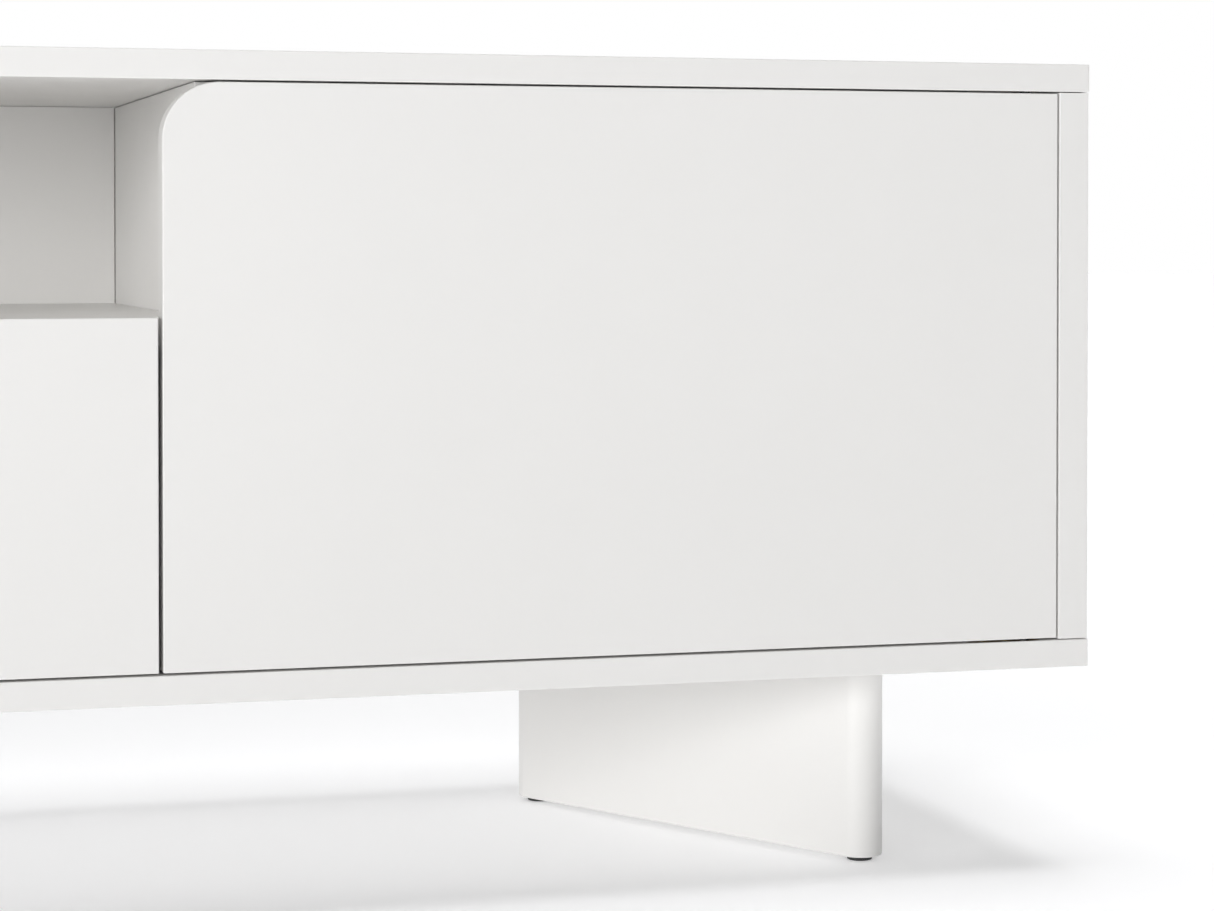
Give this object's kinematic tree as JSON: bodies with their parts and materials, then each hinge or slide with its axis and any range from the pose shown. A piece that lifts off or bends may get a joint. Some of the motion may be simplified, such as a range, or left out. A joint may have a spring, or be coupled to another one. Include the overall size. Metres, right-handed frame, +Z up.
{
  "type": "tv stand",
  "caption": "Low TV stand with a hinged door in each end bay, an open niche over a drawer between them, and slab legs set at an angle under the end bays.",
  "frame": {"origin": "on the floor, under the middle of the stand", "axes": "+X to the right along the stand's width as seen from the front, +Y from the front to the back, +Z up"},
  "size_m": [1.8, 0.42, 0.5285],
  "materials": {
    "lacquer": "satin white lacquer on board",
    "shelf_board": "matt white melamine on board",
    "steel": "zinc-plated steel",
    "black_steel": "black-oxide steel",
    "brass": "plain brass",
    "magnet": "nickel-plated magnet",
    "glide": "black plastic",
    "bumper_pad": "soft clear pad"
  },
  "bodies": {
    "carcass": {"adjustable_shelf_left": "shelf_board", "adjustable_shelf_right": "shelf_board", "back_panel": "lacquer", "bottom_panel": "lacquer", "cabinet_rail_left": "steel", "cabinet_rail_right": "steel", "catch_magnet_left": "magnet", "catch_magnet_right": "magnet", "door_bumper_left": "bumper_pad", "door_bumper_right": "bumper_pad", "drawer_bumper_left": "bumper_pad", "drawer_bumper_right": "bumper_pad", "glide_left_front": "glide", "glide_left_rear": "glide", "glide_right_front": "glide", "glide_right_rear": "glide", "leg_bolt_left_front": "steel", "leg_bolt_left_rear": "steel", "leg_bolt_right_front": "steel", "leg_bolt_right_rear": "steel", "leg_left": "lacquer", "leg_right": "lacquer", "niche_shelf": "lacquer", "partition_left": "lacquer", "partition_right": "lacquer", "pivot_socket_left_bottom": "brass", "pivot_socket_left_top": "brass", "pivot_socket_right_bottom": "brass", "pivot_socket_right_top": "brass", "rail_packing_left": "shelf_board", "rail_packing_right": "shelf_board", "shelf_pin_left_inner_front": "steel", "shelf_pin_left_inner_rear": "steel", "shelf_pin_left_outer_front": "steel", "shelf_pin_left_outer_rear": "steel", "shelf_pin_right_inner_front": "steel", "shelf_pin_right_inner_rear": "steel", "shelf_pin_right_outer_front": "steel", "shelf_pin_right_outer_rear": "steel", "side_panel_left": "lacquer", "side_panel_right": "lacquer", "top_panel": "lacquer"},
    "left_door": {"door_left": "lacquer", "pivot_leaf_left_top": "black_steel", "pivot_leaf_left_bottom": "black_steel", "strike_plate_left": "steel"},
    "right_door": {"door_right": "lacquer", "pivot_leaf_right_top": "black_steel", "pivot_leaf_right_bottom": "black_steel", "strike_plate_right": "steel"},
    "drawer": {"drawer_front": "lacquer", "drawer_side_left": "lacquer", "drawer_side_right": "lacquer", "drawer_back": "lacquer", "drawer_bottom": "shelf_board", "drawer_rail_left": "steel", "drawer_rail_right": "steel"}
  },
  "joints": [
    {"name": "left_door_hinge", "type": "hinge", "parent": "carcass", "child": "left_door", "pos_m": [-0.8576, -0.203, 0.1535], "axis": [0, 0, -1], "range_deg": [0, 110]},
    {"name": "right_door_hinge", "type": "hinge", "parent": "carcass", "child": "right_door", "pos_m": [0.8576, -0.203, 0.1535], "axis": [0, 0, 1], "range_deg": [0, 110]},
    {"name": "drawer_slide", "type": "slide", "parent": "carcass", "child": "drawer", "axis": [0, -1, 0], "range_m": [0, 0.26]}
  ]
}
